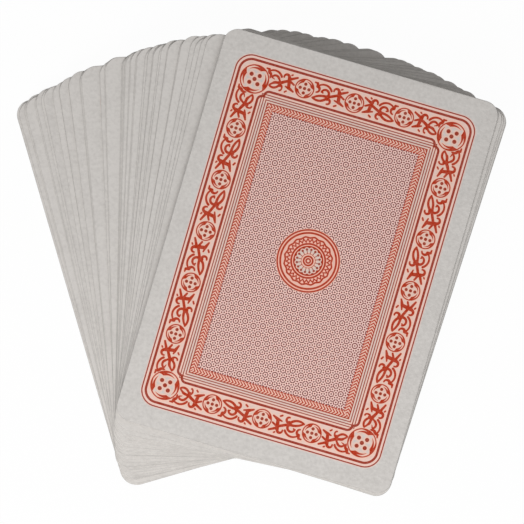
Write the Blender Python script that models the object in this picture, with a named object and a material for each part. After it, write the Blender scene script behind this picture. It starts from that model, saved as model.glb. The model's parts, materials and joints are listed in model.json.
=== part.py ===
"""A jumbo playing-card deck that lies fanned out face down on a table.

Fifty-four separate cards, four suits and two jokers, lie on one another and turn about one upright
axis near their lower edges. The origin is on that axis, at the table; +Y runs up the middle of the
fan, +X to the right of it, and +Z is up. Lengths are in metres and angles in degrees.
"""
import math
import random

import bmesh
import bpy

DECK_NAME = "jumbo_playing_card_deck"

# The card blank: a flat sheet of coated stock with four rounded corners.
CARD_WIDTH = 0.0889
CARD_LENGTH = 0.127
CARD_THICKNESS = 0.0003
CORNER_RADIUS = 0.0047
CORNER_SEGMENTS = 6

# The air left between a card and the one that lies on it.
CARD_CLEARANCE = 0.00002

# Where the fan's axis meets a card: up from its lower edge, and left of its middle line.
AXIS_ABOVE_LOWER_EDGE = 0.005
AXIS_LEFT_OF_MIDDLE = 0.0021

# How the fan lies. A lean is clockwise from +Y, seen from above. The cards lie in small packets, the
# lowest first: the turn on from the packet below, and the number of cards that lie together in it.
LOWEST_LEAN = -16.3
LOWER_PACKETS = (
    (0.0, 2), (1.3, 3), (1.7, 2), (1.2, 2), (2.0, 1), (1.0, 2), (1.6, 3), (2.0, 3),
    (2.9, 2), (1.0, 2), (2.7, 5), (1.2, 2), (1.0, 2), (1.3, 1), (0.5, 1), (0.8, 2),
    (1.1, 2), (1.0, 2), (1.9, 3), (1.6, 1), (0.7, 1), (0.6, 1), (1.0, 1),
)
PACKET_STEP = 0.14

# How far these cards sit back from the arc of the top card: the lowest, the middle and the highest, with
# those between them on a parabola. The lowest also sits to the right, and the others less and less.
LOWEST_BACK = 0.0001
MIDDLE_BACK = 0.0012
HIGHEST_BACK = 0.0014
LOWEST_RIGHT = 0.0004

# The top packet holds the cards that are left. Its two upper cards lie on one another, and the cards
# under them swing out to the right and sit back a little, to the left and down.
TOP_TURN = 2.5
OVERHANG_TURN = 1.5
OVERHANG_SHIFT = -0.0001
OVERHANG_BACK = 0.0002

# How far a card strays from its place, sideways and lengthwise, as one standard deviation.
STRAY_SIDEWAYS = 0.0002
STRAY_LENGTHWISE = 0.0003
STRAY_SEED = 11

SUITS = ("spades", "hearts", "clubs", "diamonds")
RANKS = ("ace", "two", "three", "four", "five", "six", "seven", "eight", "nine", "ten",
         "jack", "queen", "king")
JOKERS = ("red_joker", "black_joker")

STOCK_COLOUR = (0.78, 0.76, 0.73, 1.0)
STOCK_ROUGHNESS = 0.45


def clear_scene():
    """Remove every object that the scene starts with."""
    for thing in list(bpy.data.objects):
        bpy.data.objects.remove(thing, do_unlink=True)


def card_names():
    """The cards from the lowest up: each suit from ace to king, and then the jokers."""
    suited = [f"{rank}_of_{suit}" for suit in SUITS for rank in RANKS]
    return suited + list(JOKERS)


def lower_leans():
    """The leans of the cards below the top packet, from the lowest up, and the last packet's lean."""
    leans = []
    packet_lean = LOWEST_LEAN
    for turn, count in LOWER_PACKETS:
        packet_lean += turn
        leans += [packet_lean + PACKET_STEP * card for card in range(count)]
    return leans, packet_lean


def sits_off(share):
    """How far a card sits to the right and back, at this share of the way up the lower cards."""
    back = (LOWEST_BACK * (2 * share - 1) * (share - 1) + MIDDLE_BACK * 4 * share * (1 - share)
            + HIGHEST_BACK * share * (2 * share - 1))
    return LOWEST_RIGHT * (1 - share) ** 2, back


def fan_places():
    """Each card's lean and its shifts sideways and lengthwise, from the lowest card up."""
    stray = random.Random(STRAY_SEED)
    leans, last_lean = lower_leans()
    places = []
    for lean in leans:
        right, back = sits_off((lean - LOWEST_LEAN) / (last_lean - LOWEST_LEAN))
        shift = right + stray.gauss(0, STRAY_SIDEWAYS)
        places.append((lean, shift, stray.gauss(0, STRAY_LENGTHWISE) - back))
    top_lean = last_lean + TOP_TURN
    under_count = len(card_names()) - len(leans) - 2
    for card in range(under_count):
        swing = math.sin(math.pi * (card + 1) / (under_count + 1))
        shift = OVERHANG_SHIFT * swing + stray.gauss(0, STRAY_SIDEWAYS)
        reach = stray.gauss(0, STRAY_LENGTHWISE) - OVERHANG_BACK
        places.append((top_lean + OVERHANG_TURN * swing, shift, reach))
    places += [(top_lean, 0.0, 0.0)] * 2
    return places


def card_stock():
    """Off-white coated card stock."""
    material = bpy.data.materials.new("coated_card_stock")
    material.use_nodes = True
    shader = material.node_tree.nodes["Principled BSDF"]
    shader.inputs["Base Color"].default_value = STOCK_COLOUR
    shader.inputs["Roughness"].default_value = STOCK_ROUGHNESS
    shader.inputs["Metallic"].default_value = 0.0
    return material


def card_blank(material):
    """One card as a thin box with its four upright edges rounded, standing on z = 0."""
    sheet = bmesh.new()
    bmesh.ops.create_cube(sheet, size=1.0)
    bmesh.ops.translate(sheet, verts=sheet.verts, vec=(0, 0, 0.5))
    bmesh.ops.scale(sheet, verts=sheet.verts, vec=(CARD_WIDTH, CARD_LENGTH, CARD_THICKNESS))
    corners = [edge for edge in sheet.edges if edge.verts[0].co.xy == edge.verts[1].co.xy]
    bmesh.ops.bevel(sheet, geom=corners, affect="EDGES", offset=CORNER_RADIUS,
                    segments=CORNER_SEGMENTS, profile=0.5)
    mesh = bpy.data.meshes.new("card_blank")
    sheet.to_mesh(mesh)
    sheet.free()
    mesh.materials.append(material)
    return mesh


def lay_card(collection, mesh, name, level, place):
    """Put one card on the pile: an empty on the fan's axis leans, and the card hangs from it."""
    lean, sideways, lengthwise = place
    pivot = bpy.data.objects.new(f"{name}_pivot", None)
    pivot.location = (0, 0, level * (CARD_THICKNESS + CARD_CLEARANCE))
    pivot.rotation_euler = (0, 0, -math.radians(lean))
    card = bpy.data.objects.new(name, mesh)
    card.parent = pivot
    card.location = (AXIS_LEFT_OF_MIDDLE + sideways,
                     CARD_LENGTH / 2 - AXIS_ABOVE_LOWER_EDGE + lengthwise, 0)
    collection.objects.link(pivot)
    collection.objects.link(card)


def build_deck():
    """Lay the whole deck, card by card, from the table up."""
    deck = bpy.data.collections.new(DECK_NAME)
    bpy.context.scene.collection.children.link(deck)
    mesh = card_blank(card_stock())
    for level, (name, place) in enumerate(zip(card_names(), fan_places(), strict=True)):
        lay_card(deck, mesh, name, level, place)


clear_scene()
build_deck()
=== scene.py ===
import json
import math

import bpy
import numpy as np
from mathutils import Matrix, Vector

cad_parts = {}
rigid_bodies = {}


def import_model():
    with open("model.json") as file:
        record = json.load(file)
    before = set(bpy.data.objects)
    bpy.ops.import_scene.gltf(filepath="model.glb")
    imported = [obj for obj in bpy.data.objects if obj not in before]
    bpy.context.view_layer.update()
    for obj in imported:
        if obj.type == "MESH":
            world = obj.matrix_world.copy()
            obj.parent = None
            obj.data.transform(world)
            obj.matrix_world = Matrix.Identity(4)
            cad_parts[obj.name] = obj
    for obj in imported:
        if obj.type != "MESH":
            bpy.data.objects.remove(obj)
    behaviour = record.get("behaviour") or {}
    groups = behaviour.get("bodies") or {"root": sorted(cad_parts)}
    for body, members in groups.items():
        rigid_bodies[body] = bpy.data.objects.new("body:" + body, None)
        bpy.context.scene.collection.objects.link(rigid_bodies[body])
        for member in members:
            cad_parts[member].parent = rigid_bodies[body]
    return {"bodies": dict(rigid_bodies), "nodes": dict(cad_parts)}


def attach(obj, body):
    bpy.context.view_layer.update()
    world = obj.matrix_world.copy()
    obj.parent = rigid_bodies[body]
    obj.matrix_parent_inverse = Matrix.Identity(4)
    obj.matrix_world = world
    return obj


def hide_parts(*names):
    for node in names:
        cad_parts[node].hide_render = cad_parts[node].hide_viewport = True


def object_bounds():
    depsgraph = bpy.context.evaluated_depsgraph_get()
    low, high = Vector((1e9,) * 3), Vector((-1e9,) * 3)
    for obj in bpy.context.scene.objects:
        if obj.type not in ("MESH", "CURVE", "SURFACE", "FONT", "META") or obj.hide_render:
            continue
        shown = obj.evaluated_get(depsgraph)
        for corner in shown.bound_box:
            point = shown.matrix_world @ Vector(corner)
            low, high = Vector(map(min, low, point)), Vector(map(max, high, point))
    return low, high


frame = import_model()
solid_low, solid_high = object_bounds()


# Card blank: a sheet of coated stock, die cut with four round corners, its cut edge rubbed smooth.
# Fifty-four of them lie on one another. Each takes its size, place and lean from its own solid, and is
# one profile of the cut edge carried round the outline, closed by the flat of the back and of the face.
MM = 0.001
CORNER_RADIUS = 4.7 * MM
CORNER_STEPS = 12
EDGE_RADIUS = 0.09 * MM
EDGE_STEPS = 3
FLAT_RIM = 0.3 * MM
BACK, EDGE, FACE = range(3)


def card_place(name):
    """Where a card lies: its centre, the unit vectors across and along it, and its half sizes.

    The outline's points are symmetric about the middle of the card, so their mean is its centre, and
    the direction in which they spread the most is its length.
    """
    mesh = frame["nodes"][name].data
    points = np.empty(len(mesh.vertices) * 3, np.float32)
    mesh.vertices.foreach_get("co", points)
    points = points.reshape(-1, 3).astype(float)
    top, bottom = points[:, 2].max(), points[:, 2].min()
    outline = np.unique(points[points[:, 2] > (top + bottom) / 2, :2], axis=0)
    middle = outline.mean(axis=0)
    spread, axes = np.linalg.eigh(np.cov((outline - middle).T))
    along = axes[:, spread.argmax()]
    along = along * np.sign(along[1])
    across = np.array([along[1], -along[0]])
    half_width = np.abs((outline - middle) @ across).max()
    half_length = np.abs((outline - middle) @ along).max()
    centre = np.array([*middle, (top + bottom) / 2])
    return centre, across, along, (half_width, half_length, (top - bottom) / 2)


def cut_edge(half_thickness):
    """The cut edge's profile, from the flat of the back to the flat of the face.

    Two quarter circles of the edge radius with a short flat before and after them, as how far a point
    lies in from the outline and how far above the middle of the stock.
    """
    turn = np.linspace(0, np.pi / 2, EDGE_STEPS + 1)
    inset = EDGE_RADIUS * (1 - np.sin(turn))
    height = half_thickness - EDGE_RADIUS * (1 - np.cos(turn))
    inset = np.concatenate(([FLAT_RIM], inset, inset[::-1], [FLAT_RIM]))
    height = np.concatenate(([half_thickness], height, -height[::-1], [-half_thickness]))
    return inset, height


def card_sheet(half_width, half_length, half_thickness):
    """A card's points on a grid, the edge's profile by the outline, as arrays of x, y and z.

    The outline is four quarter circles about the corners' centres, and straight lines between them. A
    point that lies in from the outline has a quarter circle that much smaller about the same centre.
    """
    inset, height = cut_edge(half_thickness)
    corner = np.repeat(np.arange(4), CORNER_STEPS + 1)
    turn = np.pi / 2 * (corner + np.tile(np.linspace(0, 1, CORNER_STEPS + 1), 4))
    side = np.array([1, -1, -1, 1])[corner]
    end = np.array([1, 1, -1, -1])[corner]
    radius = CORNER_RADIUS - inset[:, None]
    x = side * (half_width - CORNER_RADIUS) + radius * np.cos(turn)
    y = end * (half_length - CORNER_RADIUS) + radius * np.sin(turn)
    z = np.broadcast_to(height[:, None], x.shape)
    return x, y, z


def grid_faces(rings, points):
    """The faces of a card: a strip of four-sided faces between each two rings, and the two flats.

    Each face has its finish beside it: the outer strips belong to the flats, the others to the edge.
    """
    ring, point = np.meshgrid(np.arange(rings - 1), np.arange(points), indexing="ij")
    after = (point + 1) % points
    strips = np.stack([ring * points + point, (ring + 1) * points + point,
                       (ring + 1) * points + after, ring * points + after], axis=-1)
    finish = np.full(ring.shape, EDGE)
    finish[0] = BACK
    finish[-1] = FACE
    back = list(range(points))
    face = list(range(rings * points - 1, (rings - 1) * points - 1, -1))
    return strips.reshape(-1, 4).tolist() + [back, face], [*finish.ravel().tolist(), BACK, FACE]


# Where a card's back, face and edge lie on the sheet that its colours are baked on: the back as large as
# the sheet's height lets it be, the face beside it at a smaller scale, and the edge in a strip below.
BAKE_MARGIN = 0.004
BACK_SHARE = 0.992
FACE_LEFT = 0.706
FACE_SHARE = 0.41
EDGE_STRIP = (0.42, 0.52)


def lay_maps(mesh, finish_of, local, half_width, half_length, shift, rings):
    """Give a card its three maps, each corner of a face at a time.

    "blank" holds millimetres from the card's centre and "print" millimetres from the print's centre,
    both as seen by someone who looks at that side; "OFBake" is where the colours are baked.
    """
    vertex = np.empty(len(mesh.loops), np.int32)
    mesh.loops.foreach_get("vertex_index", vertex)
    sizes = np.empty(len(mesh.polygons), np.int32)
    mesh.polygons.foreach_get("loop_total", sizes)
    finish = np.repeat(np.array(finish_of), sizes)
    blank = local[vertex, :2] / MM
    blank[finish == FACE, 0] *= -1
    scale = BACK_SHARE / (2 * half_length / MM)
    half = np.array([half_width, half_length]) / MM
    baked = BAKE_MARGIN + (blank + half) * scale
    small = scale * FACE_SHARE / BACK_SHARE
    facing = finish == FACE
    face_corner = np.array([FACE_LEFT, BAKE_MARGIN + BACK_SHARE])
    baked[facing] = face_corner + (blank[facing] + half * [1, -1]) * small
    cut = finish == EDGE
    turn = np.arctan2(blank[cut, 1], blank[cut, 0]) / (2 * np.pi) + 0.5
    depth = (vertex[cut] // (len(local) // rings)) / (rings - 1)
    baked[cut, 0] = FACE_LEFT + turn * (1 - BAKE_MARGIN - FACE_LEFT)
    baked[cut, 1] = EDGE_STRIP[0] + depth * (EDGE_STRIP[1] - EDGE_STRIP[0])
    for name, places in (("print", blank - shift), ("blank", blank), ("OFBake", baked)):
        layer = mesh.uv_layers.new(name=name)
        layer.data.foreach_set("uv", places.astype(np.float32).ravel())


# Finishes: every finish is worked out from a card's own maps. A value that varies over the sheet is
# written as arithmetic, and a shape in ink as how far a point lies from the shape's edge.
class Value:
    """A number that varies over a surface. Arithmetic on it adds Math nodes to its material."""

    def __init__(self, socket):
        self.socket = socket

    def node(self, kind, settings, inputs):
        """Add any node to this value's material: its settings first, then values or links."""
        made = self.socket.id_data.nodes.new(kind)
        for setting, choice in settings.items():
            setattr(made, setting, choice)
        for name, given in inputs.items():
            if isinstance(given, Value):
                self.socket.id_data.links.new(given.socket, made.inputs[name])
            else:
                made.inputs[name].default_value = given
        return made

    def math(self, operation, *terms):
        """A Math node on these terms, each a value or a plain number."""
        made = self.node("ShaderNodeMath", {"operation": operation}, dict(enumerate(terms)))
        return Value(made.outputs["Value"])

    def __add__(self, other):
        return self.math("ADD", self, other)

    __radd__ = __add__

    def __sub__(self, other):
        return self.math("SUBTRACT", self, other)

    def __rsub__(self, other):
        return self.math("SUBTRACT", other, self)

    def __mul__(self, other):
        return self.math("MULTIPLY", self, other)

    __rmul__ = __mul__

    def __truediv__(self, other):
        return self.math("DIVIDE", self, other)

    def __mod__(self, other):
        return self.math("FLOORED_MODULO", self, other)

    def __gt__(self, other):
        return self.math("GREATER_THAN", self, other)

    def __lt__(self, other):
        return self.math("LESS_THAN", self, other)

    def __abs__(self):
        return self.math("ABSOLUTE", self)

    def least(self, other):
        """The smaller of two values."""
        return self.math("MINIMUM", self, other)

    def most(self, other):
        """The larger of two values."""
        return self.math("MAXIMUM", self, other)

    def clip(self):
        """This value, kept between 0 and 1."""
        made = self.node("ShaderNodeClamp", {}, {"Value": self})
        return Value(made.outputs["Result"])

    def cosine(self):
        """The cosine of this value, in radians."""
        return self.math("COSINE", self)

    def sine(self):
        """The sine of this value, in radians."""
        return self.math("SINE", self)


def length_of(x, y):
    """The length of the vector x, y."""
    square = x * x + y * y
    return square.math("SQRT", square)


def turn_of(x, y):
    """The direction of the vector x, y, in radians anticlockwise from x."""
    return x.math("ARCTAN2", y, x)


def pick(choice, chosen, otherwise):
    """chosen where choice is 1, and otherwise where it is 0."""
    return otherwise + choice * (chosen - otherwise)


def map_places(canvas, name):
    """The two coordinates of one of the card's maps."""
    places = canvas.node("ShaderNodeUVMap", {"uv_map": name}, {})
    parts = canvas.node("ShaderNodeSeparateXYZ", {}, {"Vector": Value(places.outputs["UV"])})
    return Value(parts.outputs["X"]), Value(parts.outputs["Y"])


MOTTLE_ROUGHNESS = 0.6


def mottle(canvas, size, detail):
    """Soft noise about 0 with patches of that size in millimetres, from the sheet's own place."""
    place = canvas.node("ShaderNodeTexCoord", {}, {})
    noise = canvas.node("ShaderNodeTexNoise", {"noise_dimensions": "3D"},
                        {"Vector": Value(place.outputs["Object"]), "Scale": 1 / (size * MM),
                         "Detail": detail, "Roughness": MOTTLE_ROUGHNESS})
    return Value(noise.outputs["Fac"]) - 0.5


def blend_colours(share, under, over):
    """The colour under, changing to the colour over as share goes from 0 to 1."""
    mixed = share.node("ShaderNodeMix", {"data_type": "RGBA"}, {0: share, 6: under, 7: over})
    return Value(mixed.outputs[2])


def new_finish(name):
    """A new material, its shader, and its shader's output, from which other nodes are added."""
    material = bpy.data.materials.new(name)
    material.use_nodes = True
    shader = material.node_tree.nodes["Principled BSDF"]
    return material, shader, Value(shader.outputs["BSDF"])


def set_finish(shader, sockets):
    """Link or set the named sockets of a shader."""
    for name, given in sockets.items():
        if isinstance(given, Value):
            shader.id_data.links.new(given.socket, shader.inputs[name])
        else:
            shader.inputs[name].default_value = given


# Stock: off-white coated paper board. It is faintly mottled and uneven, each card has its own tone, and
# the margin is greyed along the cut, partly as rubbing and partly as painted shade along each card's edge.
STOCK_COLOUR = (0.72, 0.689, 0.658, 1.0)
GREYED_AND_SHADED_COLOUR = (0.50, 0.475, 0.450, 1.0)
STOCK_ROUGHNESS = 0.5
SHEEN = 0.06
LEAST_GREY = 0.06
FIBRE_SIZE = 1.1
FIBRE_DETAIL = 3.0
FIBRE_SHARE = 1.1
FIBRE_RELIEF = 0.1 * MM
FIBRE_ROUGHNESS = 0.1
CLOUD_SIZE = 9.0
CLOUD_DETAIL = 3.0
CLOUD_SHARE = 0.4
# The strip along the cut: partly rubbing, partly painted shade at each card's edge.
RUBBED_AND_SHADED_WIDTH = 0.5
RUBBED_AND_SHADED_UNEVENLY = 2.0
RUBBED_AND_SHADED_SHARE = 0.25
SPECK_SIZE = 2.2
SPECK_DETAIL = 1.0
SPECK_LEVEL = 0.27
SPECK_STEEPNESS = 8.0
SPECK_SHARE = 0.5


def card_tone(canvas):
    """How grey a card is, which is the same all over it."""
    return Value(canvas.node("ShaderNodeAttribute", {"attribute_name": "tone"}, {}).outputs["Fac"])


def bare_stock(canvas, half_width, half_length):
    """The bare stock's colour, how rough it is, and its normal."""
    x, y = map_places(canvas, "blank")
    inside = (half_width - abs(x)).least(half_length - abs(y))
    fibres = mottle(canvas, FIBRE_SIZE, FIBRE_DETAIL)
    clouds = mottle(canvas, CLOUD_SIZE, CLOUD_DETAIL)
    # A strip along the outline, greyed partly as rubbing and partly as painted shade at each card's edge.
    rubbed_and_shaded = (1.0 - inside / RUBBED_AND_SHADED_WIDTH + clouds * RUBBED_AND_SHADED_UNEVENLY).clip()
    specks = ((mottle(canvas, SPECK_SIZE, SPECK_DETAIL) - SPECK_LEVEL) * SPECK_STEEPNESS).clip()
    worn_and_shaded = rubbed_and_shaded * RUBBED_AND_SHADED_SHARE + specks * SPECK_SHARE + clouds * CLOUD_SHARE
    share = (card_tone(canvas) + LEAST_GREY + fibres * FIBRE_SHARE + worn_and_shaded).clip()
    relief = canvas.node("ShaderNodeBump", {}, {"Distance": FIBRE_RELIEF, "Height": fibres})
    colour = blend_colours(share, STOCK_COLOUR, GREYED_AND_SHADED_COLOUR)
    return colour, STOCK_ROUGHNESS + fibres * FIBRE_ROUGHNESS, Value(relief.outputs["Normal"])


# Back print: one red ink, heavier in ruled lines and dots. From the outside in it has two frame lines, a
# band of rosettes and scrolls, a frame with stepped corners, four fine lines, a braid, and a field of fine
# rings round a large rosette.
INK_COLOUR = (0.48, 0.027, 0.001, 1.0)
RULED_INK_COLOUR = (0.35, 0.030, 0.010, 1.0)
RING_COLOUR = (0.19, 0.018, 0.014, 1.0)
GROUND_COLOUR = (0.97, 0.68, 0.62, 1.0)
TINT_COLOUR = (1.0, 0.38, 0.28, 1.0)
TINT_SHARE = 0.25
HAZE_COLOUR = (1.0, 0.61, 0.48, 1.0)
FRAME_HAZE_COLOUR = (0.97, 0.66, 0.57, 1.0)
HAZE_REACH = 0.9
FRAME_HAZE_REACH = 1.8
FINE_HAZE_SHARE = 0.5
OUTER_HAZE = 0.7
INK_SPREAD = 0.06
INK_GAIN = 0.04
INK_GLAZE = 0.06
PATCH_SIZE = 0.5
PATCH_DETAIL = 2.0
PATCH_SHARE = 0.3
PATCH_LEVEL = 0.95


def inked(outside):
    """How much ink lies on a point, from how far outside the ink's edge it is."""
    return (0.5 - outside / INK_SPREAD).clip()


def round_box(a, b, half_width, half_length, radius):
    """How far a point, folded into one quarter, lies outside a rectangle with round corners."""
    out_a = a - (half_width - radius)
    out_b = b - (half_length - radius)
    beyond = length_of(out_a.most(0.0), out_b.most(0.0))
    return beyond + out_a.most(out_b).least(0.0) - radius


def drawn_line(x, y, start, stop, breadth):
    """How far a point lies outside a straight stroke, whose half breadth goes from one to the other."""
    run = (stop[0] - start[0], stop[1] - start[1])
    square = run[0] ** 2 + run[1] ** 2
    from_x = x - start[0]
    from_y = y - start[1]
    share = (from_x * (run[0] / square) + from_y * (run[1] / square)).clip()
    gap = length_of(from_x - share * run[0], from_y - share * run[1])
    return gap - breadth[0] - share * (breadth[1] - breadth[0])


def drawn_arc(x, y, centre, radius, first, last, breadth):
    """How far a point lies outside a stroke along an arc, whose half breadth goes from one to the other.

    The angles are in degrees anticlockwise. The nearest point of the arc's middle line lies in the
    point's own direction, kept between the arc's ends.
    """
    middle = math.radians((first + last) / 2)
    reach = math.radians(abs(last - first) / 2)
    from_x = x - centre[0]
    from_y = y - centre[1]
    turned_x = from_x * math.cos(middle) + from_y * math.sin(middle)
    turned_y = from_y * math.cos(middle) - from_x * math.sin(middle)
    turn = turn_of(turned_x, turned_y).most(-reach).least(reach)
    gap = length_of(turned_x - turn.cosine() * radius, turned_y - turn.sine() * radius)
    way = math.copysign(1.0, last - first)
    share = turn * (way / (2 * reach)) + 0.5
    return gap - breadth[0] - share * (breadth[1] - breadth[0])


THIN_FRAME = (38.62, 56.81, 5.0)
THIN_BREADTH = 0.33
THICK_FRAME = (37.42, 55.56, 3.9)
THICK_BREADTH = 0.68
STEPPED_FRAMES = ((29.35, 45.3, 1.5), (27.6, 47.15, 1.5))


def frame_lines(a, b):
    """The thin and the thick outer line, and the inner line with its stepped corners."""
    thin = abs(round_box(a, b, *THIN_FRAME)) - THIN_BREADTH / 2
    thick = abs(round_box(a, b, *THICK_FRAME)) - THICK_BREADTH / 2
    stepped = round_box(a, b, *STEPPED_FRAMES[0]).least(round_box(a, b, *STEPPED_FRAMES[1]))
    return thin.least(thick).least(abs(stepped) - THICK_BREADTH / 2)


FINE_OUTER = (29.35, 47.12)
FINE_FIRST = 1.08
FINE_PITCH = 0.79
FINE_COUNT = 4
FINE_BREADTH = 0.23


def fine_lines(a, b):
    """Evenly spaced lines that run round inside the stepped frame and meet at a mitre."""
    depth = (FINE_OUTER[0] - a).least(FINE_OUTER[1] - b) - FINE_FIRST
    nearest = depth.math("ROUND", depth / FINE_PITCH).most(0.0).least(FINE_COUNT - 1.0) * FINE_PITCH
    return abs(depth - nearest) - FINE_BREADTH / 2


BRAID_OUTER = (25.85, 43.6)
BRAID_WIDTH = 1.6
BRAID_PITCH = 1.03
BRAID_SLANT = 0.8
BRAID_SHARE = 0.44
DASH_INSET = 0.33
DASH_BREADTH = 0.34
DASH_SHARE = 0.7


def braid(x, y, a, b):
    """Two rows of slanting strokes that meet in a herringbone round the field, and a dashed line inside.

    Across the braid a point is from -1 to 1, and a stroke is set back by how far it lies from the middle.
    """
    deep_a = BRAID_OUTER[0] - a
    deep_b = BRAID_OUTER[1] - b
    along = pick(deep_b < deep_a, x, y) / BRAID_PITCH
    depth = deep_a.least(deep_b)
    across = abs(depth * (2 / BRAID_WIDTH) - 1.0)
    phase = (along + across * BRAID_SLANT) % 1.0
    slants = (abs(phase - 0.5) - BRAID_SHARE / 2) * BRAID_PITCH
    slants = slants.most((across - 1.0) * (BRAID_WIDTH / 2))
    dashes = (abs(along % 1.0 - 0.5) - DASH_SHARE / 2) * BRAID_PITCH
    line = abs(depth - BRAID_WIDTH - DASH_INSET) - DASH_BREADTH / 2
    return slants.least(dashes.most(line))


ROSETTE_PITCH = 16.7
END_PITCH = 16.15
LONG_MIDDLE = 33.2
END_MIDDLE = 51.2
CORNER_ROSETTE = (31.95, 49.7)
CORNER_RING = (4.4, 1.3, 0.04)
CORNER_DOTS = (1.32, 0.62)
SMALL_RING = (2.9, 0.95, 0.53)
SMALL_DOTS = (1.41, 0.47)
RING_BREADTH = 0.30
SLIT_HEAD = 0.12
SLIT_PLACE = 0.42
SLIT_SPREAD = 0.62
LEAF_TAIL = -1.5
LEAF_GROWTH = 1.6
LEAF_HEAD = 0.43
HEAD_STEEPNESS = 5.0


def leafy_ring(x, y, radius, depth, lean):
    """A thin ring with four leaves along its inside, each of which runs from a tail to a blunt head.

    Turned into one quarter, a point lies some share of the way along a leaf, from -0.5 to 0.5. The leaf
    grows deeper towards its head, and a slit down its middle opens towards its tail.
    """
    out = length_of(x, y)
    way = (turn_of(x, y) * (2 / math.pi) - lean + 0.5) % 1.0 - 0.5
    deep = ((way - LEAF_TAIL) * (depth / LEAF_GROWTH)).least(depth)
    deep = deep.least((LEAF_HEAD - way) * (depth * HEAD_STEEPNESS))
    leaves = (out - radius).most(radius - deep - out)
    slit = (SLIT_HEAD - way) * (SLIT_SPREAD * depth) - abs(out - radius + deep * SLIT_PLACE)
    return leaves.most(slit).least(abs(out - radius) - RING_BREADTH / 2)


def corner_dots(x, y):
    """Five dots, as on a die."""
    step, dot = CORNER_DOTS
    return length_of(abs(x) - step, abs(y) - step).least(length_of(x, y)) - dot


def small_dots(x, y):
    """Five dots in a cross."""
    step, dot = SMALL_DOTS
    long_way = abs(x).most(abs(y)) - step
    short_way = abs(x).least(abs(y))
    return length_of(long_way, short_way).least(length_of(x, y)) - dot


# One length of scrollwork, in millimetres from the rosette on the corner's side and from the band's
# middle line outwards: straight strokes by their ends and half breadths, and arcs by centre, radius,
# first and last angle and half breadths. The hook stands next to the rosette.
HOOK_LINES = (
    ((2.85, 2.85), (3.7, 2.75), (0.22, 0.32)),
    ((3.7, 2.75), (3.95, 1.8), (0.36, 0.50)),
)
HOOK_ARCS = (
    ((3.75, 0.9), 0.95, 75, -80, (0.48, 0.22)),
)
SCROLL_LINES = (
    ((5.6, 0.65), (6.05, 0.3), (0.26, 0.22)),
    ((7.6, -0.7), (7.9, -1.1), (0.62, 0.62)),
    ((7.9, -0.6), (11.0, 0.8), (0.40, 0.40)),
    ((11.2, 1.7), (11.65, -1.2), (0.58, 0.52)),
    ((11.5, 1.5), (13.7, 2.6), (0.42, 0.28)),
    ((11.6, 0.9), (13.1, 0.15), (0.34, 0.28)),
    ((11.65, -1.2), (13.4, -2.0), (0.52, 0.24)),
    ((11.5, -1.3), (10.3, -1.0), (0.34, 0.20)),
    ((11.65, 2.85), (11.95, 3.05), (0.24, 0.20)),
    ((10.6, -2.75), (11.2, -2.4), (0.26, 0.24)),
)
SCROLL_ARCS = (
    ((6.16, -0.04), 2.92, 125, 33, (0.24, 0.34)),
    ((6.8, 0.15), 1.28, 165, -35, (0.28, 0.42)),
    ((7.13, -6.54), 5.96, 130, 85, (0.28, 0.40)),
    ((4.91, 1.03), 3.46, 240, 320, (0.28, 0.40)),
    ((8.2, -1.95), 0.8, 60, -95, (0.40, 0.24)),
    ((10.2, 1.85), 0.85, 20, 190, (0.46, 0.24)),
)
KNOT_PLACE = 11.2
CORNER_SQUEEZE = 0.36
SQUEEZE_MIDDLE = 0.4
SQUEEZE_RUN = 1.5
HOOK_SHIFT = 0.45
SMALL_CLEARANCE = 0.3
CORNER_CLEARANCE = 0.35


def strokes(x, y, lines, arcs):
    """How far a point lies outside a group of strokes."""
    ink = None
    for draw, group in ((drawn_line, lines), (drawn_arc, arcs)):
        for stroke in group:
            drawn = draw(x, y, *stroke)
            ink = drawn if ink is None else ink.least(drawn)
    return ink


def band(a, b):
    """The band between the frames: rosettes at an even pitch, with scrollwork from each to the next.

    The scroll next to a corner is squeezed, because the rosette there is larger. The rosettes' dots come
    apart from the other strokes, because they are printed heavier.
    """
    on_end = (b - a) > (CORNER_ROSETTE[1] - CORNER_ROSETTE[0])
    along = pick(on_end, a * (ROSETTE_PITCH / END_PITCH), b)
    across = pick(on_end, b - END_MIDDLE, a - LONG_MIDDLE)
    at_corner = pick(on_end, along + ROSETTE_PITCH, along) > (2 * ROSETTE_PITCH)
    place = ROSETTE_PITCH - along % ROSETTE_PITCH
    lower = (SQUEEZE_MIDDLE - across / SQUEEZE_RUN).clip()
    squeezed = place - (KNOT_PLACE - place).most(0.0) * (at_corner * lower * CORNER_SQUEEZE)
    ink = strokes(squeezed, across, SCROLL_LINES, SCROLL_ARCS)
    ink = ink.least(strokes(place - at_corner * HOOK_SHIFT, across, HOOK_LINES, HOOK_ARCS))
    near_a = a - pick(on_end, a.math("ROUND", a / END_PITCH) * END_PITCH, LONG_MIDDLE)
    near_b = b - pick(on_end, END_MIDDLE, b.math("ROUND", b / ROSETTE_PITCH) * ROSETTE_PITCH)
    ink = ink.most(SMALL_RING[0] + SMALL_CLEARANCE - length_of(near_a, near_b))
    ink = ink.least(leafy_ring(near_a, near_b, *SMALL_RING))
    corner_a = a - CORNER_ROSETTE[0]
    corner_b = b - CORNER_ROSETTE[1]
    cleared = CORNER_RING[0] + CORNER_CLEARANCE - length_of(corner_a, corner_b)
    ink = ink.most(corner_a.least(corner_b)).most(cleared)
    ink = ink.least(leafy_ring(corner_a, corner_b, *CORNER_RING))
    dots = small_dots(near_a, near_b).most(cleared).least(corner_dots(corner_a, corner_b))
    return ink, dots


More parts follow.
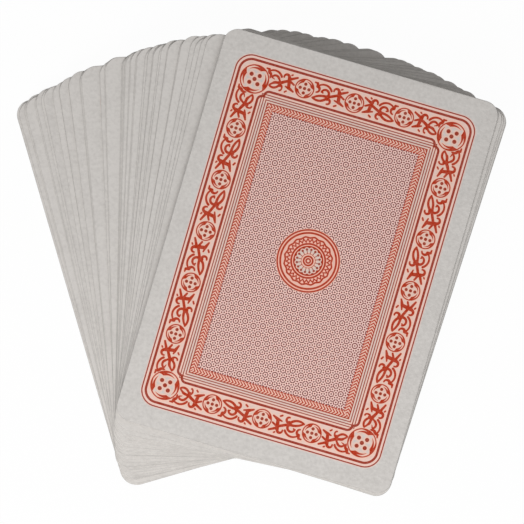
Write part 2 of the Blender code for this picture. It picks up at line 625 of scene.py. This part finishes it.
CENTRE_RINGS = ((9.66, 0.44), (8.72, 0.52), (5.30, 0.50), (4.50, 0.38), (2.20, 0.10), (1.43, 0.48),
                (0.66, 0.44))
CENTRE_REACH = 10.1
TINTED = (4.9, 9.7)
TEETH = 32
TOOTH_REACH = (5.89, 6.85)
TOOTH_BREADTH = 0.64
SCALLOPS = 16
WAVE_REACH = (7.12, 7.55)
WAVE_BREADTH = 0.46
CUSP_RING = 4.5
CUSP_DEPTH = 0.6
DOT_RING = 3.58
DOT_RADIUS = 0.34
SPOKE = (2.2, 3.4, 0.16)


def saw(turn, count):
    """From 1 to 0 and back, that many times round."""
    return abs((turn * (count / (2 * math.pi))) % 1.0 - 0.5) * 2.0


def centre_rosette(x, y):
    """The rosette in the middle of the field: rings, a zigzag and a wavy ring, then dots on thin spokes."""
    out = length_of(x, y)
    turn = turn_of(x, y)
    radius, breadth = CENTRE_RINGS[0]
    ink = abs(out - radius) - breadth / 2
    for radius, breadth in CENTRE_RINGS[1:]:
        ink = ink.least(abs(out - radius) - breadth / 2)
    tooth = TOOTH_REACH[1] - saw(turn, TEETH) * (TOOTH_REACH[1] - TOOTH_REACH[0])
    ink = ink.least(abs(out - tooth) - TOOTH_BREADTH / 2)
    near_dot = saw(turn, SCALLOPS)
    wave = near_dot * (WAVE_REACH[1] - WAVE_REACH[0]) + WAVE_REACH[0]
    ink = ink.least(abs(out - wave) - WAVE_BREADTH / 2)
    cusp = (CUSP_RING - CUSP_DEPTH + near_dot * CUSP_DEPTH - out).most(out - CUSP_RING)
    aside = (1.0 - near_dot) * (math.pi / SCALLOPS) * out
    dots = length_of(out - DOT_RING, aside) - DOT_RADIUS
    spoke = (aside - SPOKE[2] / 2).most(out - SPOKE[1]).most(SPOKE[0] - out)
    return ink, cusp.least(dots).least(spoke), out


RING_PITCH = 0.712
RING_WAVES = 6
RING_LEVEL = 0.25
RING_SOFTNESS = 0.6
FIELD = (23.8, 41.55)


def field_rings(x, y):
    """How much ink the field's pattern of rings and dots holds, from 0 to 1.

    It is the sum of six waves of one pitch, at even angles: they crest together in dots, and round
    each dot again in a ring.
    """
    crest = None
    for wave in range(RING_WAVES):
        angle = math.pi * wave / RING_WAVES
        across = x * (math.cos(angle) * 2 * math.pi / RING_PITCH)
        height = (across + y * (math.sin(angle) * 2 * math.pi / RING_PITCH)).cosine()
        crest = height if crest is None else crest + height
    return ((crest - RING_LEVEL) / RING_SOFTNESS + 0.5).clip()


def back_finish(half_width, half_length):
    """The printed back: coated stock with the red print on it, which lies deeper in the field's rings.

    The field and the large rosette's rings have a tinted ground, and the stock next to other strokes a
    warm haze.
    """
    material, shader, canvas = new_finish("printed_back")
    x, y = map_places(canvas, "print")
    a = abs(x)
    b = abs(y)
    rings, spokes, out = centre_rosette(x, y)
    scrolls, dots = band(a, b)
    scrolls = scrolls.least(braid(x, y, a, b)).least(rings)
    fine = fine_lines(a, b).least(spokes).least(dots)
    frames = frame_lines(a, b)
    in_field = (a < FIELD[0]) * (b < FIELD[1]) * (out > CENTRE_REACH)
    in_rings = (out < TINTED[1]) * (out > TINTED[0])
    inside = (1.0 - round_box(a, b, *THIN_FRAME) / OUTER_HAZE).clip()
    frame_haze = (1.0 - frames / FRAME_HAZE_REACH).clip() * inside
    haze = 1.0 - scrolls.least(dots) / HAZE_REACH
    haze = haze.most((1.0 - fine / HAZE_REACH) * FINE_HAZE_SHARE).clip()
    patchy = mottle(canvas, PATCH_SIZE, PATCH_DETAIL) * PATCH_SHARE + PATCH_LEVEL
    pattern = field_rings(x, y) * in_field * patchy
    ruled_cover = inked(fine.least(frames) - INK_GAIN) * patchy
    cover = inked(scrolls - INK_GAIN) * patchy
    stock, roughness, normal = bare_stock(canvas, half_width, half_length)
    printed = blend_colours(frame_haze, stock, FRAME_HAZE_COLOUR)
    printed = blend_colours(haze, printed, HAZE_COLOUR)
    printed = blend_colours(in_field, printed, GROUND_COLOUR)
    printed = blend_colours(in_rings * TINT_SHARE, printed, TINT_COLOUR)
    printed = blend_colours(pattern.clip(), printed, RING_COLOUR)
    printed = blend_colours(ruled_cover.clip(), printed, RULED_INK_COLOUR)
    printed = blend_colours(cover.clip(), printed, INK_COLOUR)
    glazed = roughness - ruled_cover.most(cover) * INK_GLAZE
    set_finish(shader, {"Base Color": printed, "Roughness": glazed, "Normal": normal,
                        "Specular IOR Level": SHEEN})
    return material


# Cut edge: the bare end of the board, which shows its paper core between the two coated sides. It is
# sheared by the die, rubbed smooth, and a little soiled from handling. Its colours are also darkened as
# painted shade, for the shade that falls in the steps between the fanned cards.
# Partly the paper core's own grey, partly painted shade for the steps between the fanned cards.
EDGE_AND_SHADE_COLOUR = (0.50, 0.480, 0.455, 1.0)
CORE_AND_SHADE_COLOUR = (0.36, 0.345, 0.325, 1.0)
EDGE_ROUGHNESS = 0.7
CORE_SHARE = 0.2
TONE_SHARE = 3.0
SHEAR_SIZE = 2.0
SHEAR_DETAIL = 4.0
SHEAR_SHARE = 0.9
SHEAR_RELIEF = 0.03 * MM
SHEAR_ROUGHNESS = 0.2


def edge_and_shade_finish():
    """The cut edge of the stock, streaked and uneven from the die, and darkened as painted shade."""
    material, shader, canvas = new_finish("cut_edge")
    streaks = mottle(canvas, SHEAR_SIZE, SHEAR_DETAIL)
    share = (streaks * SHEAR_SHARE + CORE_SHARE + card_tone(canvas) * TONE_SHARE).clip()
    relief = canvas.node("ShaderNodeBump", {}, {"Distance": SHEAR_RELIEF, "Height": streaks})
    # The edge's colour here is partly its own grey and partly painted shade between the cards.
    set_finish(shader, {"Base Color": blend_colours(share, EDGE_AND_SHADE_COLOUR, CORE_AND_SHADE_COLOUR),
                        "Roughness": streaks * SHEAR_ROUGHNESS + EDGE_ROUGHNESS,
                        "Normal": Value(relief.outputs["Normal"]), "Specular IOR Level": SHEEN})
    return material


# Face print: a card's rank and suit, in red or black ink. The upper half of a face is repeated below, the
# other way up. Number cards carry pips, court cards a crown in a frame, and jokers a star in a ring.
RED_INK = (0.50, 0.018, 0.020, 1.0)
BLACK_INK = (0.020, 0.019, 0.021, 1.0)
GILT_COLOUR = (0.62, 0.38, 0.07, 1.0)

# The pips, as shares of a pip's height from its middle: where a lobe or leaf stands and its radius, the
# stem's foot and its half breadths, and the reach of a diamond's corners.
STEM_TOP = (0.0, 0.0)
STEM_FOOT = (0.0, -0.40)
STEM_BREADTH = (0.02, 0.10)
SPADE_LOBE = (0.20, -0.13)
SPADE_TIP = (0.0, 0.50)
SPADE_BREADTH = (0.24, 0.0)
HEART_LOBE = (0.21, 0.22)
HEART_TIP = (0.0, -0.50)
HEART_BREADTH = (0.26, 0.0)
SIDE_LEAF = (0.235, -0.08)
TOP_LEAF = 0.28
LEAF_RADIUS = 0.22
DIAMOND_REACH = (0.37, 0.5)
DIAMOND_SLOPE = 0.3


def stem(x, y):
    """The foot of a black pip, which flares downwards."""
    return drawn_line(x, y, STEM_TOP, STEM_FOOT, STEM_BREADTH)


def spade(x, y):
    """Two drops that meet at the tip, on a stem."""
    return drawn_line(abs(x), y, SPADE_LOBE, SPADE_TIP, SPADE_BREADTH).least(stem(x, y))


def heart(x, y):
    """Two drops that meet at the tip, which is down."""
    return drawn_line(abs(x), y, HEART_LOBE, HEART_TIP, HEART_BREADTH)


def club(x, y):
    """Three round leaves on a stem."""
    sides = length_of(abs(x) - SIDE_LEAF[0], y - SIDE_LEAF[1])
    leaves = sides.least(length_of(x, y - TOP_LEAF)) - LEAF_RADIUS
    return leaves.least(stem(x, y))


def diamond(x, y):
    """Four straight sides."""
    return (abs(x) / DIAMOND_REACH[0] + abs(y) / DIAMOND_REACH[1] - 1.0) * DIAMOND_SLOPE


PIPS = {"spades": spade, "hearts": heart, "clubs": club, "diamonds": diamond}


def pip(x, y, place, height, shape):
    """How far a point lies outside a pip of that height, whose middle is at that place."""
    return shape((x - place[0]) / height, (y - place[1]) / height) * height


# Where the pips of a number card stand, as a column and a row: those of the upper half, which are
# repeated below the other way up, and those that stand upright once.
COLUMN = 17.0
TOP_ROW = 38.0
SECOND_ROW = 12.7
GAP_ROW = 19.0
TEN_ROW = 25.4
SPOTS = {
    "two": (((0.0, TOP_ROW),), ()),
    "three": (((0.0, TOP_ROW),), ((0.0, 0.0),)),
    "four": (((COLUMN, TOP_ROW),), ()),
    "five": (((COLUMN, TOP_ROW),), ((0.0, 0.0),)),
    "six": (((COLUMN, TOP_ROW),), ((COLUMN, 0.0),)),
    "seven": (((COLUMN, TOP_ROW),), ((COLUMN, 0.0), (0.0, GAP_ROW))),
    "eight": (((COLUMN, TOP_ROW), (0.0, GAP_ROW)), ((COLUMN, 0.0),)),
    "nine": (((COLUMN, TOP_ROW), (COLUMN, SECOND_ROW)), ((0.0, 0.0),)),
    "ten": (((COLUMN, TOP_ROW), (COLUMN, SECOND_ROW), (0.0, TEN_ROW)), ()),
}
PIP_HEIGHT = 17.0
ACE_HEIGHT = 44.0

# The figure in a card's corner: straight strokes by their ends, and arcs by centre, radius and angles.
FIGURES = {
    "ace": ((((-3.2, -5.4), (0.0, 5.4)), ((0.0, 5.4), (3.2, -5.4)), ((-2.0, -1.7), (2.0, -1.7))), ()),
    "two": ((((2.3, 0.9), (-3.0, -5.4)), ((-3.0, -5.4), (3.1, -5.4))), (((0.0, 2.5), 2.9, 170, -35),)),
    "three": ((), (((0.0, 2.8), 2.6, 160, -85), ((0.0, -2.5), 2.9, 85, -155))),
    "four": ((((1.4, -5.4), (1.4, 5.4)), ((1.4, 5.4), (-3.2, -2.2)), ((-3.2, -2.2), (3.2, -2.2))), ()),
    "five": ((((2.6, 5.4), (-2.2, 5.4)), ((-2.2, 5.4), (-2.5, 0.4))), (((-0.1, -2.2), 3.2, 135, -150),)),
    "six": ((), (((0.0, -2.4), 3.0, -180, 180), ((4.2, -2.4), 7.2, 180, 110))),
    "seven": ((((-3.0, 5.4), (3.0, 5.4)), ((3.0, 5.4), (-1.0, -5.4))), ()),
    "eight": ((), (((0.0, 2.9), 2.5, -180, 180), ((0.0, -2.5), 2.9, -180, 180))),
    "nine": ((), (((0.0, 2.4), 3.0, -180, 180), ((-4.2, 2.4), 7.2, 0, -70))),
    "ten": ((((-3.6, 5.4), (-3.6, -5.4)), ((-1.1, 3.2), (-1.1, -3.2)), ((3.5, 3.2), (3.5, -3.2))),
            (((1.2, 3.2), 2.3, 0, 180), ((1.2, -3.2), 2.3, -180, 0))),
    "jack": ((((1.9, 5.4), (1.9, -2.7)), ((0.0, 5.4), (3.2, 5.4))), (((-0.7, -2.7), 2.6, 0, -170),)),
    "queen": ((((-3.1, 2.3), (-3.1, -2.3)), ((3.1, 2.3), (3.1, -2.3)), ((0.6, -2.6), (3.3, -6.0))),
              (((0.0, 2.3), 3.1, 0, 180), ((0.0, -2.3), 3.1, -180, 0))),
    "king": ((((-2.6, -5.4), (-2.6, 5.4)), ((3.0, 5.4), (-2.6, -0.6)), ((-0.8, 1.2), (3.2, -5.4))), ()),
}
FIGURE_PEN = (0.80, 0.80)
FIGURE_PLACE = (-37.0, 53.5)
CORNER_PIP = (-37.0, 41.5)
CORNER_PIP_HEIGHT = 9.0


def corner_figure(x, y, rank):
    """How far a point lies outside a rank's figure."""
    lines, arcs = FIGURES[rank]
    return strokes(x - FIGURE_PLACE[0], y - FIGURE_PLACE[1], [(*line, FIGURE_PEN) for line in lines],
                   [(*arc, FIGURE_PEN) for arc in arcs])


CROWN_POINTS = {"jack": 3, "queen": 5, "king": 7}
CROWN_FOOT = 4.0
CROWN_BAND = 13.0
CROWN_TIP = 24.0
CROWN_HALF = 17.0
CROWN_BALL = 1.7
COURT_FRAME = (27.5, 48.0, 2.0)
COURT_PIP = (-17.5, 37.5)
COURT_LINE = 0.5


def crown(x, y, count):
    """A band with a row of points on it, each of which ends in a ball.

    Across the crown a point of the face lies some share of the way from one tip to the next, and the
    crown's top falls evenly from the tips to the valleys between them.
    """
    step = 2 * CROWN_HALF / count
    aside = abs(x - x.math("ROUND", x / step) * step)
    top = CROWN_TIP - aside * ((CROWN_TIP - CROWN_BAND) / (step / 2))
    points = (y - top) * (step / 2 / CROWN_TIP)
    body = points.most(abs(x) - CROWN_HALF).most(CROWN_FOOT - y)
    balls = (length_of(aside, y - CROWN_TIP) - CROWN_BALL).most(abs(x) - CROWN_HALF)
    return body.least(balls)


STAR_POINTS = 5
STAR_RADIUS = 26.0
STAR_NOTCH = 0.42
STAR_RING = 30.0
CORNER_STAR = 5.5


def star(x, y, radius):
    """A star with five points: turned into one point, its side runs straight from the tip to the notch."""
    out = length_of(x, y)
    half = math.pi / STAR_POINTS
    sector = (turn_of(x, y) - half / 2) % (2 * half) - half
    notch = (radius * STAR_NOTCH * math.cos(half), radius * STAR_NOTCH * math.sin(half))
    side = math.hypot(radius - notch[0], notch[1])
    across = (half - abs(sector)).cosine() * out - radius
    aside = (half - abs(sector)).sine() * out
    return across * (notch[1] / side) + aside * ((radius - notch[0]) / side)


def face_print(x, y, name):
    """How far a point lies outside a face's ink, and outside its gilding."""
    turned_x = pick(y < 0.0, 0.0 - x, x)
    turned_y = abs(y)
    if name in ("red_joker", "black_joker"):
        large = star(x, y, STAR_RADIUS)
        ring = abs(length_of(x, y) - STAR_RING) - COURT_LINE
        small = star(turned_x - FIGURE_PLACE[0], turned_y - FIGURE_PLACE[1], CORNER_STAR)
        return (abs(large) - COURT_LINE).least(ring).least(small), large
    rank, suit = name.split("_of_")
    shape = PIPS[suit]
    ink = corner_figure(turned_x, turned_y, rank)
    ink = ink.least(pip(turned_x, turned_y, CORNER_PIP, CORNER_PIP_HEIGHT, shape))
    if rank == "ace":
        return ink.least(pip(x, y, (0.0, 0.0), ACE_HEIGHT, shape)), None
    if rank in CROWN_POINTS:
        ink = ink.least(pip(turned_x, turned_y, COURT_PIP, PIP_HEIGHT, shape))
        ink = ink.least(abs(round_box(abs(x), turned_y, *COURT_FRAME)) - COURT_LINE / 2)
        gilt = crown(turned_x, turned_y, CROWN_POINTS[rank])
        return ink.least(abs(gilt) - COURT_LINE / 2), gilt
    for spots, up in zip(SPOTS[rank], (turned_y, y), strict=True):
        for spot in spots:
            ink = ink.least(pip(abs(x), up, spot, PIP_HEIGHT, shape))
    return ink, None


def plain_face(half_width, half_length):
    """A face with nothing on it."""
    material, shader, canvas = new_finish("plain_face")
    colour, roughness, normal = bare_stock(canvas, half_width, half_length)
    set_finish(shader, {"Base Color": colour, "Roughness": roughness, "Normal": normal,
                        "Specular IOR Level": SHEEN})
    return material


def face_finish(name, plain):
    """The face of a card: its print on a copy of the plain face."""
    material = plain.copy()
    material.name = name + "_face"
    shader = material.node_tree.nodes["Principled BSDF"]
    colour = Value(shader.inputs["Base Color"].links[0].from_socket)
    ink, gilt = face_print(*map_places(colour, "blank"), name)
    if gilt is not None:
        colour = blend_colours(inked(gilt), colour, GILT_COLOUR)
    red = name.endswith(("hearts", "diamonds")) or name == "red_joker"
    colour = blend_colours(inked(ink), colour, RED_INK if red else BLACK_INK)
    set_finish(shader, {"Base Color": colour})
    return material


# The deck: every card laid where its solid lies, from the table up. The print of a card is never quite
# in its middle, and no two sheets have quite the same tone. The top card is the most handled.
PRINT_SHIFT = (0.2, 0.1)
PRINT_STRAY = 0.10
TONE_STRAY = 0.06
TOP_TONE = 0.13
STRAY_SEED = 7
TOP_CARD = "black_joker"
stray = np.random.default_rng(STRAY_SEED)
back = None
for name in frame["bodies"]:
    centre, across, along, halves = card_place(name)
    x, y, z = card_sheet(*halves)
    rings, points = x.shape
    local = np.stack([x, y, z], axis=-1).reshape(-1, 3)
    flat = centre[:2] + local[:, :1] * across + local[:, 1:2] * along
    places = np.column_stack([flat, centre[2] + local[:, 2]])
    faces, finish_of = grid_faces(rings, points)
    mesh = bpy.data.meshes.new(name + "_sheet")
    mesh.from_pydata(places, [], faces)
    mesh.polygons.foreach_set("material_index", finish_of)
    mesh.polygons.foreach_set("use_smooth", np.ones(len(faces), bool))
    on_top = name == TOP_CARD
    shift = np.array(PRINT_SHIFT) + stray.normal(0, PRINT_STRAY, 2) * (not on_top)
    lay_maps(mesh, finish_of, local, halves[0], halves[1], shift, rings)
    tone = mesh.attributes.new("tone", "FLOAT", "POINT")
    grey = TOP_TONE if on_top else abs(stray.normal(0, TONE_STRAY))
    tone.data.foreach_set("value", np.full(len(places), grey, np.float32))
    if back is None:
        back = back_finish(halves[0] / MM, halves[1] / MM)
        edge = edge_and_shade_finish()
        plain = plain_face(halves[0] / MM, halves[1] / MM)
    for finish in (back, edge, face_finish(name, plain)):
        mesh.materials.append(finish)
    card = bpy.data.objects.new(name + "_card", mesh)
    bpy.context.scene.collection.objects.link(card)
    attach(card, name)
    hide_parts(name)


# Table and studio: a plain pale table, one large soft lamp low at the foot of the fan, and an even pale
# room. The camera looks straight down, with the fan's axis near the foot of the picture.
TABLE_HALF = 3.0
TABLE_COLOUR = (0.9, 0.9, 0.9, 1.0)
TABLE_ROUGHNESS = 0.9
TABLE_GLOW = 0.97
WHITE = (1.0, 1.0, 1.0, 1.0)
ROOM_LEVEL = 0.373
LAMP_PLACE = (-0.20, -0.57, 0.52)
LAMP_AIM = (0.01, 0.05, 0.01)
LAMP_SIZE = 0.60
LAMP_POWER = 5.75
CAMERA_PLACE = (0.00427, 0.05526, 0.850)
PICTURE_WIDTH = 0.1632
NEAREST_SEEN = 0.01


def seen_directly(tree):
    """1 on rays from the camera, mirrors and glass, and 0 on those that light the cards."""
    path = tree.nodes.new("ShaderNodeLightPath")
    camera = Value(path.outputs["Is Camera Ray"])
    mirror = Value(path.outputs["Is Glossy Ray"])
    return camera.most(mirror).most(Value(path.outputs["Is Transmission Ray"]))


table_mesh = bpy.data.meshes.new("table")
corner_x, corner_y = np.meshgrid([-TABLE_HALF, TABLE_HALF], [-TABLE_HALF, TABLE_HALF])
table_places = np.column_stack([corner_x.ravel(), corner_y.ravel(), np.full(4, solid_low.z)])
table_mesh.from_pydata(table_places, [], [(0, 1, 3, 2)])
table = bpy.data.objects.new("table", table_mesh)
bpy.context.scene.collection.objects.link(table)
table_finish, table_shader, table_canvas = new_finish("pale_table")
set_finish(table_shader, {"Base Color": TABLE_COLOUR, "Roughness": TABLE_ROUGHNESS,
                          "Specular IOR Level": 0.0})
glow = table_canvas.node("ShaderNodeEmission", {}, {"Color": WHITE, "Strength": 1.0})
share = seen_directly(table_finish.node_tree) * TABLE_GLOW
mixed = table_canvas.node("ShaderNodeMixShader", {}, {0: share, 1: table_canvas,
                                                      2: Value(glow.outputs["Emission"])})
table_end = table_finish.node_tree.nodes["Material Output"]
table_finish.node_tree.links.new(mixed.outputs["Shader"], table_end.inputs["Surface"])
table_mesh.materials.append(table_finish)

room = bpy.data.worlds.new("pale_room")
room.use_nodes = True
bpy.context.scene.world = room
room_light = room.node_tree.nodes["Background"]
room_light.inputs["Color"].default_value = WHITE
strength = pick(seen_directly(room.node_tree), 1.0, ROOM_LEVEL)
room.node_tree.links.new(strength.socket, room_light.inputs["Strength"])

lamp_data = bpy.data.lights.new("soft_lamp", "AREA")
lamp_data.shape = "DISK"
lamp_data.size = LAMP_SIZE
lamp_data.energy = LAMP_POWER
lamp = bpy.data.objects.new("soft_lamp", lamp_data)
lamp.location = LAMP_PLACE
lamp_axis = Vector(LAMP_PLACE) - Vector(LAMP_AIM)
lamp.rotation_euler = lamp_axis.to_track_quat("Z", "Y").to_euler()
bpy.context.scene.collection.objects.link(lamp)

camera_data = bpy.data.cameras.new("camera")
camera_height = CAMERA_PLACE[2] - solid_high.z
camera_data.lens = camera_data.sensor_width * camera_height / PICTURE_WIDTH
camera_data.clip_start = NEAREST_SEEN
camera = bpy.data.objects.new("camera", camera_data)
camera.location = CAMERA_PLACE
bpy.context.scene.collection.objects.link(camera)
bpy.context.scene.camera = camera
bpy.context.scene.view_settings.view_transform = "Standard"
